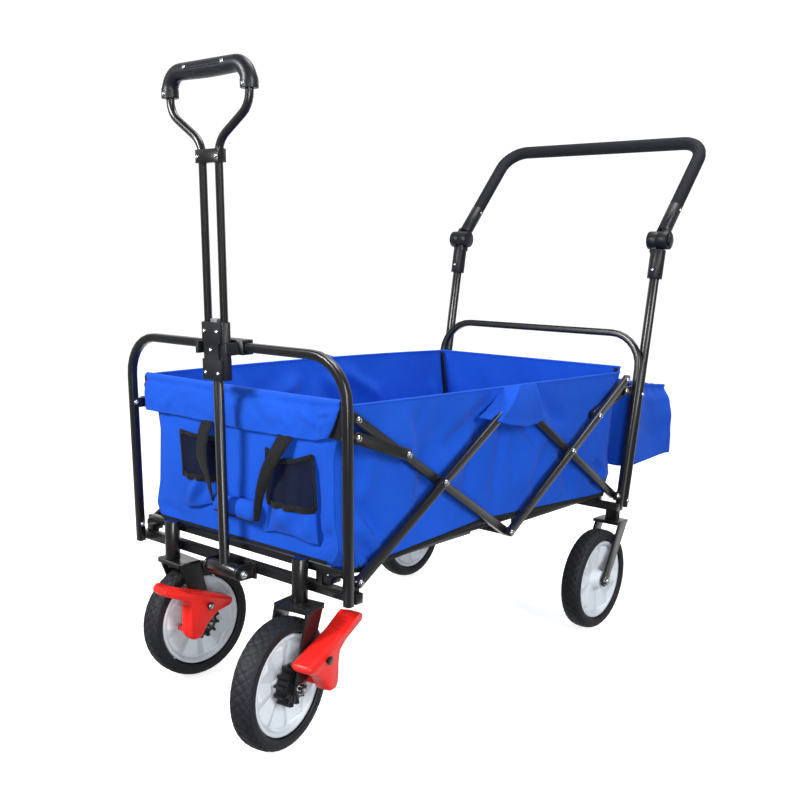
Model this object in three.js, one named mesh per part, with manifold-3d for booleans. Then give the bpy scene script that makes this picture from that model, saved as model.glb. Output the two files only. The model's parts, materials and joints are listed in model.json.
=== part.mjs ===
// Folding camp wagon with a scissor-folding steel frame, a fabric tub, four wheels, a telescopic
// pull handle in front and a U-shaped push handle behind.
// Millimetres. +Z is up and the front, with the pull handle, faces -Y. Drawn with Y = 0 at the middle
// of the scissor bars, then moved so that the origin is the middle of the footprint.
import * as THREE from 'three';
import { mergeVertices } from 'three/addons/utils/BufferGeometryUtils.js';
import Module from 'manifold-3d';

const wasm = await Module();
wasm.setup();

// ---------------------------------------------------------------- driving dimensions
const barHalf = 230; // pivot to crossing, the same on all four scissor bars
const openAngle = THREE.MathUtils.degToRad(31); // bars above level with the wagon open
const pivotZ = 258; // lower pivots above the ground
const barDepth = 14;
const barThick = 9.6;
const innerLayer = 232.4; // x of the bars next to the tub
const outerLayer = 243; // x of the bars outside them
const boltHeadR = 4.5;
const boltHeadOut = 3;

const postX = 245; // hoop posts
const tube = 14; // hoop tube, square with round corners
const postBottom = 228;
const hoopTop = 585;
const hoopBend = 68;
const frontPostY = -417; // post centre at its lower end
const rearPostY = 400;
const frontLean = THREE.MathUtils.degToRad(2);
const rearLean = THREE.MathUtils.degToRad(-8);

const crossbarZ = 237;
const crossbar = 15;
const floorBarZ = 268;
const floorBar = 12;
const frontCrossY = -401.7;
const rearCrossY = 385.2;
const rearFloorBarY = 394.5;

const wheelR = 100;
const rimR = 77.6;
const tyreWidth = 38;
const stemX = 151;
const stemY = -422;
const stemR = 12.6;
const stemBottom = 216;
const stemTop = 281;
const casterTrail = 46;
const rightSwivel = THREE.MathUtils.degToRad(8.8);
const leftSwivel = THREE.MathUtils.degToRad(-3.9);
const rearWheelX = 240;
const rearWheelY = 322;
const axleR = 5;
const teeth = 12;

const handlePivotY = -437.5;
const handlePivotZ = 235;
const legY = rearPostY + 17.3; // push legs stand close behind the rear posts
const legBottom = 232;
const knuckleZ = 768;
const knuckleY = legY + (knuckleZ - postBottom) * Math.tan(-rearLean);
const pushAngle = THREE.MathUtils.degToRad(41.5); // push handle behind the vertical
const pushReach = 276;

const tubX = 222; // half width of the tub's floor and end panels
const tubY = 404;
const tubTop = 518;
const fabric = 3;
const pockets = [ // middle and half width in X, bottom, top
  { name: 'left', x: -92, half: 47, bottom: 315, top: 436 },
  { name: 'right', x: 118, half: 51, bottom: 305, top: 434 },
];
const rollX = [-43, 59];
const rollZ = 332;
const bagSide = [[440, 311], [658, 318], [662, 464], [440, 483]]; // outline in (Y, Z)
const gap = 0.3;
const footprintMiddle = 60.87; // Y of the middle of the wagon's outer box

// ---------------------------------------------------------------- finishes
const steel = () => new THREE.MeshStandardMaterial({ color: 0x17181a, roughness: 0.38, metalness: 0.6 });
const cloth = () => new THREE.MeshStandardMaterial({ color: 0x1c58d8, roughness: 0.85, metalness: 0 });
const mould = () => new THREE.MeshStandardMaterial({ color: 0x1b1c1e, roughness: 0.55, metalness: 0 });
const foam = () => new THREE.MeshStandardMaterial({ color: 0x202224, roughness: 0.95, metalness: 0 });
const rubber = () => new THREE.MeshStandardMaterial({ color: 0x1d2024, roughness: 0.8, metalness: 0 });
const rimPlastic = () => new THREE.MeshStandardMaterial({ color: 0xdfe3e6, roughness: 0.45, metalness: 0 });
const redPlastic = () => new THREE.MeshStandardMaterial({ color: 0xe8231f, roughness: 0.4, metalness: 0 });
const greyPlastic = () => new THREE.MeshStandardMaterial({ color: 0x8d9297, roughness: 0.5, metalness: 0 });
const mesh = () => new THREE.MeshStandardMaterial({ color: 0x1a1c22, roughness: 0.9, metalness: 0 });

// ---------------------------------------------------------------- solids
function toSolid(geometry) {
  const bare = new THREE.BufferGeometry();
  bare.setAttribute('position', geometry.getAttribute('position').clone());
  if (geometry.index) bare.setIndex(geometry.index.clone());
  const merged = mergeVertices(bare, 1e-4);
  return new wasm.Manifold(new wasm.Mesh({
    numProp: 3,
    vertProperties: new Float32Array(merged.getAttribute('position').array),
    triVerts: new Uint32Array(merged.index.array),
  }));
}

function fromSolid(solid) {
  const data = solid.getMesh();
  const geometry = new THREE.BufferGeometry();
  geometry.setAttribute('position', new THREE.BufferAttribute(new Float32Array(data.vertProperties), 3));
  geometry.setIndex(new THREE.BufferAttribute(new Uint32Array(data.triVerts), 1));
  geometry.computeVertexNormals();
  return geometry;
}

const join = (...pieces) => fromSolid(pieces.map(toSolid).reduce((a, b) => a.add(b)));
const cut = (body, ...tools) => fromSolid(
  tools.map(toSolid).reduce((a, b) => a.subtract(b), toSolid(body)));

// Box from its low corner to its high corner.
function block(x0, x1, y0, y1, z0, z1) {
  const [w, d, h] = [Math.abs(x1 - x0), Math.abs(y1 - y0), Math.abs(z1 - z0)];
  return new THREE.BoxGeometry(w, d, h).translate((x0 + x1) / 2, (y0 + y1) / 2, (z0 + z1) / 2);
}

// Cylinder along X from x0 to x1.
function rodX(r, x0, x1, y, z, sides = 16) {
  const rod = new THREE.CylinderGeometry(r, r, Math.abs(x1 - x0), sides).rotateZ(Math.PI / 2);
  return rod.translate((x0 + x1) / 2, y, z);
}

// Cylinder along Z from z0 to z1.
function rodZ(r, x, y, z0, z1, sides = 16) {
  const rod = new THREE.CylinderGeometry(r, r, z1 - z0, sides).rotateX(Math.PI / 2);
  return rod.translate(x, y, (z0 + z1) / 2);
}

// Outline drawn in (Y, Z) and given a thickness from x0 to x1.
function slabX(shape, x0, x1, curveSegments = 6) {
  const [low, high] = [Math.min(x0, x1), Math.max(x0, x1)];
  const slab = new THREE.ExtrudeGeometry(shape, { depth: high - low, bevelEnabled: false, curveSegments });
  const basis = new THREE.Matrix4().makeBasis(
    new THREE.Vector3(0, 1, 0), new THREE.Vector3(0, 0, 1), new THREE.Vector3(1, 0, 0));
  return slab.applyMatrix4(basis).translate(low, 0, 0);
}

// Outline drawn in (X, Y) and given a thickness from z0 to z1.
function slabZ(shape, z0, z1) {
  return new THREE.ExtrudeGeometry(shape, { depth: z1 - z0, bevelEnabled: false }).translate(0, 0, z0);
}

const outline = (points) => new THREE.Shape(points.map(([a, b]) => new THREE.Vector2(a, b)));

// Strip with round ends from one (Y, Z) point to another.
function strip(from, to, radius) {
  const along = Math.atan2(to[1] - from[1], to[0] - from[0]);
  const shape = new THREE.Shape();
  shape.absarc(to[0], to[1], radius, along - Math.PI / 2, along + Math.PI / 2);
  shape.absarc(from[0], from[1], radius, along + Math.PI / 2, along + 1.5 * Math.PI);
  shape.closePath();
  return shape;
}

const beyond = (from, to, extra) => {
  const length = Math.hypot(to[0] - from[0], to[1] - from[1]);
  return [to[0] + ((to[0] - from[0]) * extra) / length, to[1] + ((to[1] - from[1]) * extra) / length];
};

// ---------------------------------------------------------------- bent tubes
class Bend extends THREE.Curve {
  constructor(before, corner, after, radius) {
    super();
    const back = before.clone().sub(corner).normalize();
    const ahead = after.clone().sub(corner).normalize();
    const half = back.angleTo(ahead) / 2;
    const inwards = back.clone().add(ahead).normalize();
    this.centre = corner.clone().addScaledVector(inwards, radius / Math.sin(half));
    this.start = corner.clone().addScaledVector(back, radius / Math.tan(half));
    this.end = corner.clone().addScaledVector(ahead, radius / Math.tan(half));
    this.turn = Math.PI - 2 * half;
  }

  getPoint(t) {
    const a = this.start.clone().sub(this.centre);
    const b = this.end.clone().sub(this.centre);
    const s = Math.sin(this.turn);
    a.multiplyScalar(Math.sin((1 - t) * this.turn) / s).addScaledVector(b, Math.sin(t * this.turn) / s);
    return a.add(this.centre);
  }
}

// Route through corner points with a bend at each inner one: a straight takes one step, a bend several.
class Route extends THREE.Curve {
  constructor(corners, radii, bendSteps) {
    super();
    const points = corners.map((p) => new THREE.Vector3(...p));
    this.stretches = [];
    let from = points[0];
    for (let i = 1; i < points.length - 1; i++) {
      const radius = Array.isArray(radii) ? radii[i - 1] : radii;
      const bend = new Bend(points[i - 1], points[i], points[i + 1], radius);
      this.stretches.push({ curve: new THREE.LineCurve3(from, bend.start), steps: 1 });
      this.stretches.push({ curve: bend, steps: bendSteps });
      from = bend.end;
    }
    this.stretches.push({ curve: new THREE.LineCurve3(from, points.at(-1)), steps: 1 });
    this.steps = this.stretches.reduce((sum, s) => sum + s.steps, 0);
  }

  getUtoTmapping(u) {
    return u;
  }

  getPoint(t) {
    let k = t * this.steps;
    for (const stretch of this.stretches) {
      if (k <= stretch.steps + 1e-9) return stretch.curve.getPoint(Math.min(1, k / stretch.steps));
      k -= stretch.steps;
    }
    return this.stretches.at(-1).curve.getPoint(1);
  }
}

function roundSection(radius, sides, holeRadius = 0) {
  const ring = (r) => Array.from({ length: sides }, (_, i) => {
    const a = ((i + 0.5) * 2 * Math.PI) / sides;
    return new THREE.Vector2(r * Math.cos(a), r * Math.sin(a));
  });
  const shape = new THREE.Shape(ring(radius));
  if (holeRadius) shape.holes.push(new THREE.Path(ring(holeRadius)));
  return shape;
}

function squareSection(width, corner) {
  const h = width / 2;
  const c = h - corner;
  const shape = new THREE.Shape();
  shape.absarc(c, c, corner, 0, Math.PI / 2);
  shape.absarc(-c, c, corner, Math.PI / 2, Math.PI);
  shape.absarc(-c, -c, corner, Math.PI, 1.5 * Math.PI);
  shape.absarc(c, -c, corner, 1.5 * Math.PI, 2 * Math.PI);
  shape.closePath();
  return shape;
}

function bentTube(corners, radii, section, bendSteps = 7) {
  const route = new Route(corners, radii, bendSteps);
  return new THREE.ExtrudeGeometry(section, {
    extrudePath: route, steps: route.steps, bevelEnabled: false, curveSegments: 2,
  });
}

// ---------------------------------------------------------------- the model
const wagon = new THREE.Group();

function add(name, geometry, material, parent = wagon) {
  const piece = new THREE.Mesh(geometry, material);
  piece.name = name;
  parent.add(piece);
  return piece;
}

const sides = [['left', -1], ['right', 1]];

// Turned about X through (y, z): geometry drawn upright comes out leaning.
const leaned = (geometry, angle, y, z) => geometry.translate(0, -y, -z).rotateX(angle).translate(0, y, z);

// ---- scissor pivots in (Y, Z)
const reach = 2 * barHalf * Math.cos(openAngle);
const rise = 2 * barHalf * Math.sin(openAngle);
const P1 = [-reach, pivotZ];
const T1 = [-reach, pivotZ + rise];
const lowMid = [0, pivotZ];
const topMid = [0, pivotZ + rise];
const crossFront = [-reach / 2, pivotZ + rise / 2];
const crossRear = [reach / 2, pivotZ + rise / 2];
const P3 = [reach, pivotZ];
const T2 = [reach, pivotZ + rise];
const linkShare = 0.26; // link pivot's place along its bar, from the upper end
const linkPost = [-reach - 11.2, pivotZ + 213.5];
const linkBar = [-reach + linkShare * reach, pivotZ + rise * (1 - linkShare)];
const mirrored = ([y, z]) => [-y, z];

// Bolt head on the outer face of a layer.
function boltHead(side, layer, [y, z]) {
  const face = layer + barThick / 2;
  return rodX(boltHeadR, side * (face - 1), side * (face + boltHeadOut), y, z, 10);
}

function scissorBar(side, layer, from, to, extraFrom, extraTo, bolts) {
  const shape = strip(beyond(to, from, extraFrom), beyond(from, to, extraTo), barDepth / 2);
  const bar = slabX(shape, side * (layer - barThick / 2), side * (layer + barThick / 2));
  return join(bar, ...bolts.map((at) => boltHead(side, layer, at)));
}

function scissorBars() {
  for (const [name, side] of sides) {
    add(`bar_a_${name}`, scissorBar(side, innerLayer, T1, lowMid, 10, 4, [T1]), steel());
    add(`bar_b_${name}`, scissorBar(side, outerLayer, P1, topMid, 1, 4, [P1, crossFront, topMid]), steel());
    const boltsC = [lowMid, crossRear, mirrored(linkBar), T2];
    add(`bar_c_${name}`, scissorBar(side, outerLayer, lowMid, T2, 1, 4, boltsC), steel());
    add(`bar_d_${name}`, scissorBar(side, innerLayer, topMid, P3, 4, 1, []), steel());
  }
  const inside = innerLayer - barThick / 2 - gap;
  add('centre_tube', rodX(7, -inside, inside, lowMid[0], lowMid[1], 12), steel());
}

// Short channel link: a strip with two long grooves in its outer face.
function channelLink(side, layer, from, to, bolts) {
  const [low, high] = [layer - barThick / 2, layer + barThick / 2];
  const body = slabX(strip(from, to, 9), side * low, side * high);
  const angle = Math.atan2(to[1] - from[1], to[0] - from[0]);
  const middle = [(from[0] + to[0]) / 2, (from[1] + to[1]) / 2];
  const grooves = [-4.2, 4.2].map((offset) => {
    const groove = block(side * (high - 1.2), side * (high + 1), -40, 40, offset - 1.3, offset + 1.3);
    return groove.rotateX(angle).translate(0, middle[0], middle[1]);
  });
  return join(cut(body, ...grooves), ...bolts.map((at) => boltHead(side, layer, at)));
}

function links() {
  for (const [name, side] of sides) {
    const front = [linkPost, linkBar];
    const rear = front.map(mirrored);
    add(`front_link_${name}`, channelLink(side, outerLayer, ...front, front), steel());
    add(`rear_link_${name}`, channelLink(side, innerLayer, ...rear, []), steel());
  }
}

// ---- hoops
function hoop(postY, lean) {
  const corners = [[-postX, postBottom], [-postX, hoopTop], [postX, hoopTop], [postX, postBottom]];
  const bar = bentTube(corners.map(([x, z]) => [x, postY, z]), hoopBend, squareSection(tube, 4.2));
  return leaned(bar, lean, postY, postBottom);
}

const postCentre = (postY, lean, z) => postY - (z - postBottom) * Math.tan(lean);

const lugPlate = [234.4, 237.7]; // x of the plates inside the front posts
const lugHalf = 8;

function frontHoop() {
  const faceY = postCentre(frontPostY, frontLean, linkPost[1]) + tube / 2;
  const heights = [linkPost[1] - lugHalf, linkPost[1] + lugHalf];
  const lugs = sides.flatMap(([, side]) => {
    const [inner, outer] = lugPlate.map((x) => side * x);
    return [
      block(inner, outer, faceY - 4, linkPost[0] + lugHalf, ...heights),
      block(inner, side * 242, faceY - 4, faceY, ...heights),
    ];
  });
  add('front_hoop', join(hoop(frontPostY, frontLean), ...lugs), steel());
}

function rearHoop() {
  const rearLink = mirrored(linkPost);
  const upperFace = postCentre(rearPostY, rearLean, rearLink[1]) - tube / 2;
  const pieces = sides.flatMap(([, side]) => {
    const lug = (reachX, pivot, y1) => block(
      side * 238.2, side * reachX, pivot[0] - lugHalf, y1, pivot[1] - lugHalf, pivot[1] + lugHalf);
    return [
      lug(241.4, rearLink, upperFace + 4), rodX(boltHeadR, side * 240, side * 244.4, ...rearLink, 10),
      lug(245, P3, P3[0] + lugHalf), rodX(boltHeadR, side * 243, side * 248, ...P3, 10),
    ];
  });
  add('rear_hoop', join(hoop(rearPostY, rearLean), ...pieces), steel());
}

// Two crossbars with short uprights between them, as one weldment.
function crossLadder(y, upperY, lowerHalf, upperHalf, uprightX) {
  const h = crossbar / 2;
  const f = floorBar / 2;
  const pieces = [
    block(-lowerHalf, lowerHalf, y - h, y + h, crossbarZ - h, crossbarZ + h),
    block(-upperHalf, upperHalf, upperY - f, upperY + f, floorBarZ - f, floorBarZ + f),
  ];
  for (const [, side] of sides) {
    const [x0, x1] = [side * (uprightX - f), side * (uprightX + f)];
    pieces.push(block(x0, x1, upperY - f, upperY + f, crossbarZ, floorBarZ));
  }
  return pieces;
}

function frontCrossFrame() {
  const pieces = crossLadder(frontCrossY, frontCrossY, 252, 236, 176);
  for (const [, side] of sides) {
    const plate = lugPlate.map((x) => side * x);
    pieces.push(
      rodZ(stemR, side * stemX, stemY, stemBottom, stemTop, 20),
      block(...plate, frontCrossY - 7, P1[0] + lugHalf, crossbarZ, P1[1] + lugHalf),
      block(side * (stemX - 6), side * (stemX + 6), stemY, frontCrossY, crossbarZ - 5, crossbarZ + 5),
      block(side * 203, side * 215, frontCrossY - 22, frontCrossY, floorBarZ - 13, floorBarZ - 3));
  }
  add('front_cross_frame', join(...pieces), steel());
}

function rearCrossFrame() {
  add('rear_cross_frame', join(...crossLadder(rearCrossY, rearFloorBarY, 252, tubX, 200)), steel());
}

// ---- floor: two boards on rails, hinged at the crossbars, their ends laced like a comb
const floorHingeY = 380;
const floorHingeZ = 264;

function floorHalf(name, side) {
  const comb = 50;
  const tongue = 110;
  const start = side * (floorHingeY - 8);
  const points = side < 0
    ? [[-tubX, start], [tubX, start], [tubX, -comb], [tongue, -comb], [tongue, comb], [-tongue, comb],
      [-tongue, -comb], [-tubX, -comb]]
    : [[tubX, start], [-tubX, start], [-tubX, -comb], [-tongue - 0.5, -comb], [-tongue - 0.5, comb + 0.5],
      [tongue + 0.5, comb + 0.5], [tongue + 0.5, -comb], [tubX, -comb]];
  const shape = outline(points);
  add(`floor_${name}`, slabZ(shape, floorHingeZ + 7, floorHingeZ + 13), mould());

  const railX = side < 0 ? 195 : 213;
  const ends = [side * (floorHingeY + 1), side * 58];
  const heights = [floorHingeZ - 6, floorHingeZ + 6];
  const rails = sides.map(([, s]) => block(s * (railX - 6), s * (railX + 6), ...ends, ...heights));
  const tie = block(-railX, railX, side * 320, side * 332, ...heights);
  add(`floor_rails_${name}`, join(...rails, tie), steel());
}

// ---- fabric
function tubEnds() {
  const front = -tubY - fabric;
  const bottom = floorBarZ + floorBar / 2 + 2;
  const band = block(-tubX - 4, tubX + 4, front - 3.4, front + 0.5, tubTop - 58, tubTop);
  add('tub_front', join(block(-tubX, tubX, front, -tubY, bottom, tubTop), band), cloth());
  add('tub_rear', block(-tubX, tubX, tubY, tubY + fabric, bottom, tubTop), cloth());
}

function tubSides() {
  const inner = tubX + 0.5;
  for (const [name, side] of sides) {
    const [end, hem, top] = [tubY - 0.5, floorHingeZ - 3, tubTop - 8];
    const [notchY, notchZ] = [frontCrossY + floorBar / 2 + 1, floorBarZ + floorBar / 2 + 2];
    const wall = outline([[-end, top], [-end, notchZ], [notchY, notchZ], [notchY, hem],
      [-60, hem + 7], [60, hem + 7], [end, hem], [end, top]]);
    const panel = slabX(wall, side * inner, side * (inner + fabric));
    const over = block(side * (inner + 1), side * 254, -105, 125, top - 3.5, top);
    const drop = outline([[-105, top], [-70, 470], [10, 452], [95, 470], [125, top]]);
    const flap = slabX(drop, side * 251.2, side * 254);
    add(`tub_${name}`, join(panel, over, flap), cloth());
  }
}

function frontPockets() {
  const back = -tubY - fabric - 0.4;
  const [depth, net] = [26, 2.5];
  for (const { name, x, half, bottom, top } of pockets) {
    const shell = block(x - half, x + half, back - depth, back, bottom, top);
    const inside = block(
      x - half + net, x + half - net, back - depth + net, back - net, bottom + net, top + net);
    add(`pocket_${name}`, cut(shell, inside), mesh());
  }
  const roll = rodX(1, ...rollX, 0, 0, 12).scale(1, 11, 15).translate(0, back - 12, rollZ);
  add('carry_grip', roll, cloth());
}

function rearBag() {
  const [[y0, z0], [y1, z1], [, z2], [, z3]] = bagSide;
  const above = Math.max(z2, z3) + fabric;
  const inside = outline([
    [y0 + fabric, z0 + fabric], [y1 - fabric, z1 + fabric], [y1 - fabric, above], [y0 + fabric, above]]);
  const shell = slabX(outline(bagSide), -tubX, tubX);
  add('rear_bag', cut(shell, slabX(inside, -tubX + fabric, tubX - fabric)), cloth());
}

// ---- wheels, drawn about the X axis at the origin
function wheelProfile(points) {
  const profile = points.map(([r, x]) => new THREE.Vector2(r, x));
  return new THREE.LatheGeometry(profile, 40).rotateZ(-Math.PI / 2);
}

function tyre() {
  const w = tyreWidth / 2;
  return wheelProfile([[rimR + gap, -w + 4], [88, -w], [96, -w + 3], [wheelR, -w + 9],
    [wheelR, w - 9], [96, w - 3], [88, w], [rimR + gap, w - 4], [rimR + gap, -w + 4]]);
}

// Dished rim: ring, disc and hub tube around the axle. Front wheels carry a toothed brake ring on one face.
function rim(ratchetSide) {
  const w = tyreWidth / 2;
  const bore = axleR + gap;
  let body = wheelProfile([[bore, -w], [17, -w], [20, -5], [70, -9], [72, -w + 3], [rimR, -w + 4],
    [rimR, w - 4], [72, w - 3], [70, 9], [20, 5], [17, w], [bore, w], [bore, -w]]);
  if (ratchetSide) {
    const [root, tip] = [24, 31];
    const corners = [];
    for (let i = 0; i < teeth; i++) {
      const pitch = (2 * Math.PI) / teeth;
      for (const [share, r] of [[-0.3, root], [-0.16, tip], [0.16, tip], [0.3, root]]) {
        const a = (i + 0.5 + share) * pitch;
        corners.push([r * Math.cos(a), r * Math.sin(a)]);
      }
    }
    const ring = slabX(outline(corners), ratchetSide * 3, ratchetSide * 30);
    const bored = cut(ring, rodX(bore, ratchetSide * 2, ratchetSide * 31, 0, 0, 12));
    body = join(body, bored);
    body = cut(body, rodX(bore, -40, 40, 0, 0, 12));
  }
  return body;
}

function wheel(name, x, y, turn, ratchetSide) {
  const pieces = [['rim', rim(ratchetSide), rimPlastic()], ['tyre', tyre(), rubber()]];
  for (const [piece, geometry, finish] of pieces) {
    const part = add(`${piece}_${name}`, geometry, finish);
    part.position.set(x, y, wheelR);
    part.rotation.z = turn;
  }
}

// ---- front casters, drawn with the stem on the Z axis, the wheel trailing towards trail * Y
const legTop = 207;
function forkLeg(trail, x0, x1) {
  const shape = new THREE.Shape();
  const axle = trail * casterTrail;
  shape.moveTo(-trail * 10, legTop + 3);
  shape.lineTo(trail * 30, legTop + 3);
  shape.lineTo(axle + trail * 12, wheelR + 4);
  const [from, to] = trail > 0 ? [0.32, -2.82] : [Math.PI - 0.32, Math.PI + 2.82];
  shape.absarc(axle, wheelR, 12.6, from, to, trail > 0);
  shape.closePath();
  return slabX(shape, x0, x1);
}

const pedalPin = [24, 145];

function casterFork(trail) {
  const axle = trail * casterTrail;
  const crown = block(-25.5, 35.7, -trail * 13, trail * 30, legTop, stemBottom - 0.5);
  return join(
    crown, forkLeg(trail, -25.5, -21.5), forkLeg(trail, 31.7, 35.7),
    rodZ(9, 0, 0, legTop - 6, legTop + 1, 6),
    rodX(axleR, -28, 40, axle, wheelR, 12),
    rodX(8, -31, -25, axle, wheelR, 6), rodX(8, 35.2, 42, axle, wheelR, 6),
    rodX(4, 35, 73, trail * pedalPin[0], pedalPin[1], 12),
    rodX(6.5, 72.2, 74.2, trail * pedalPin[0], pedalPin[1], 12));
}

// Brake lever: ridged pad on top, a leg down to the toe and a pawl that drops between the wheel's teeth.
function pedal(trail) {
  const shape = new THREE.Shape();
  const at = (u, w) => [trail * u, w];
  shape.moveTo(...at(-65, 193));
  shape.lineTo(...at(73, 150));
  shape.lineTo(...at(72, 139));
  shape.quadraticCurveTo(...at(32, 132), ...at(10, 90));
  shape.lineTo(...at(-8, 90));
  shape.lineTo(...at(-13, 100));
  shape.lineTo(...at(-13, 158));
  shape.lineTo(...at(-64, 179));
  shape.closePath();
  const lever = slabX(shape, 36.6, 71.6);
  const pawl = block(19.8, 37, trail * -6, trail * 12.8, 96.5, 103);
  const ridges = [];
  const slope = Math.atan2(150 - 193, 73 + 65);
  for (let i = 0; i < 7; i++) {
    const u = -46 + i * 11;
    const w = 193 + Math.tan(slope) * (u + 65);
    const ridge = block(42, 66, -1.4, 1.4, -1, 1.2);
    ridges.push(ridge.rotateX(trail * slope).translate(0, trail * u, w));
  }
  const bored = cut(lever, rodX(4.3, 30, 80, trail * pedalPin[0], pedalPin[1], 12));
  return join(bored, pawl, ...ridges);
}

function caster(name, side, trail, turn) {
  const base = new THREE.Group();
  base.position.set(side * stemX, stemY, 0);
  base.rotation.z = turn;
  wagon.add(base);
  add(`caster_fork_${name}`, casterFork(trail), steel(), base);
  add(`pedal_${name}`, pedal(trail), redPlastic(), base);
  const axle = new THREE.Vector3(0, trail * casterTrail, 0).applyEuler(base.rotation);
  wheel(`front_${name}`, side * stemX + axle.x, stemY + axle.y, turn, 1);
}

// ---- rear forks, fixed under the rear crossbar, their legs sloping forwards to the axle
function rearFork(x) {
  const leg = new THREE.Shape();
  leg.moveTo(400, 212);
  leg.lineTo(368, 212);
  leg.lineTo(rearWheelY - 11, wheelR + 5);
  leg.absarc(rearWheelY, wheelR, 12, Math.PI - 0.4, 2 * Math.PI - 0.45);
  leg.closePath();
  return join(
    block(x - 27.3, x + 27.3, 356, 400, 207, 213),
    block(x - 12, x + 12, 378, 393, 212, crossbarZ - crossbar / 2 - gap),
    slabX(leg, x - 27.3, x - 23.3), slabX(leg, x + 23.3, x + 27.3),
    rodX(axleR, x - 31, x + 31, rearWheelY, wheelR, 12),
    rodX(8, x - 33, x - 27, rearWheelY, wheelR, 6),
    rodX(8, x + 27, x + 33, rearWheelY, wheelR, 6));
}

function rearWheels() {
  for (const [name, side] of sides) {
    add(`rear_fork_${name}`, rearFork(side * rearWheelX), steel());
    wheel(`rear_${name}`, side * rearWheelX, rearWheelY, 0, 0);
  }
}

// ---- pull handle, drawn upright on its pivot and leaned with the hoop
function pullHandle() {
  const lean = (geometry) => geometry.rotateX(frontLean).translate(0, handlePivotY, handlePivotZ);
  const tubes = [-18, 18];
  const tubeR = 6.2;

  const holes = tubes.map((x) => rodZ(tubeR + 0.4, x, 0, 285, 405, 10));
  const housing = join(
    block(-21, 21, -12, 9.6, 300, 331), block(-15, 15, -11, 9.2, 329, 357),
    block(-20, 20, -12, 9.6, 355, 386),
    ...tubes.map((x) => rodZ(8.8, x, 0, 300, 386, 12)));
  const core = rodZ(8.6, 0, 0, 295, 340, 16);
  const buttonWell = block(-8, 8, -7, 7, 381, 395);
  add('handle_housing', lean(cut(housing, core, buttonWell, ...holes)), mould());
  add('release_button', lean(block(-7, 7, -6, 6, 384.5, 391)), greyPlastic());

  const lower = join(rodZ(8.2, 0, 0, 0, 339, 16), rodX(11.5, -33, 33, 0, 0, 16));
  add('pull_tube', lean(cut(lower, rodX(5.2, -40, 40, 0, 0, 12))), steel());

  const loopCorners = [[18, 0, 617], [18, 0, 642], [86, 0, 686], [86, 0, 742],
    [-86, 0, 742], [-86, 0, 686], [-18, 0, 642], [-18, 0, 617]];
  const loop = bentTube(loopCorners, [36, 34, 24, 24, 34, 36], roundSection(tubeR, 12), 5);
  const bracket = block(-25, 25, -8, 8, 613, 632);
  const stems = tubes.map((x) => rodZ(tubeR, x, 0, 307, 619, 10));
  add('loop_frame', lean(join(loop, bracket, ...stems)), steel());

  const gripCorners = [[86, 0, 708], [86, 0, 742], [-86, 0, 742], [-86, 0, 708]];
  add('grip', lean(bentTube(gripCorners, 24, roundSection(12, 12, tubeR + 0.4), 5)), mould());
}

// Plate on the front crossbar with two round-ended lugs that hold the handle's pivot.
function handleBracket() {
  const face = frontCrossY - crossbar / 2 - gap;
  const [low, high] = [handlePivotZ - 12.5, handlePivotZ + 12.5];
  const lug = (x) => join(
    block(x, x + 4, handlePivotY, face, low, high), rodX(12.5, x, x + 4, handlePivotY, handlePivotZ, 20));
  add('handle_bracket', join(
    block(-44, 44, face - 4, face, low - 1, high + 4), lug(-38.5), lug(34.5),
    rodX(4.8, -42, 42, handlePivotY, handlePivotZ, 12),
    rodX(7, 38, 44, handlePivotY, handlePivotZ, 6)), steel());
}

// Saddle on the hoop's top bar with two arms that grip the handle's neck.
function hoopClip() {
  const [y, z, half] = [frontPostY, hoopTop, tube / 2 + gap];
  const saddle = block(-45, 45, y - 9.7, y + 11, z - 11, z + 11);
  const channel = block(-50, 50, y - half, y + half, z - half, z + half);
  const arms = sides.map(([, s]) => block(s * 29.5, s * 35, y - 33, y - 9, z - 11, z + 7));
  add('hoop_clip', leaned(join(cut(saddle, channel), ...arms), frontLean, y, postBottom), mould());
}

// ---- push handle
function pushHandle() {
  const legLength = (knuckleZ - postBottom) / Math.cos(rearLean) - 27;
  const swing = (geometry) => geometry.rotateX(-pushAngle).translate(0, knuckleY, knuckleZ);

  for (const [name, side] of sides) {
    const x = side * postX;
    const leg = rodZ(9.8, x, legY, legBottom, postBottom + legLength, 14);
    add(`push_leg_${name}`, leaned(leg, rearLean, legY, postBottom), steel());

    const sleeve = cut(rodZ(15, x, 0, -76, -19, 16), rodZ(10.1, x, 0, -90, -26, 14));
    const lowerShoulder = block(x - side * 1, x - side * 14, -10, 10, -26, -4);
    const lowerDisc = rodX(18, x - side * 21, x - side * 0.5, 0, 0, 20);
    const socket = join(sleeve, lowerShoulder, lowerDisc);
    add(`socket_${name}`, socket.rotateX(rearLean).translate(0, knuckleY, knuckleZ), mould());

    const upperDisc = rodX(18, x + side * 0.5, x + side * 21, 0, 0, 20);
    const well = rodX(11.4, x + side * 14, x + side * 22, 0, 0, 16);
    const upperSleeve = cut(rodZ(14, x, 0, 20, 91, 16), rodZ(10.1, x, 0, 28, 100, 14));
    const shoulder = block(x + side * 1, x + side * 14, -10, 10, 4, 26);
    const cleared = cut(join(upperSleeve, upperDisc, shoulder), well);
    add(`knuckle_${name}`, swing(cleared), mould());
    add(`push_button_${name}`, swing(rodX(11, x + side * 18.5, x + side * 25, 0, 0, 16)), mould());
  }

  const arch = (low) => [[-postX, 0, low], [-postX, 0, pushReach], [postX, 0, pushReach], [postX, 0, low]];
  add('push_bar', swing(bentTube(arch(32), 50, roundSection(9.8, 12), 7)), steel());
  add('foam_grip', swing(bentTube(arch(92), 50, roundSection(13.5, 14, 10.2), 7)), foam());
}

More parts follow.
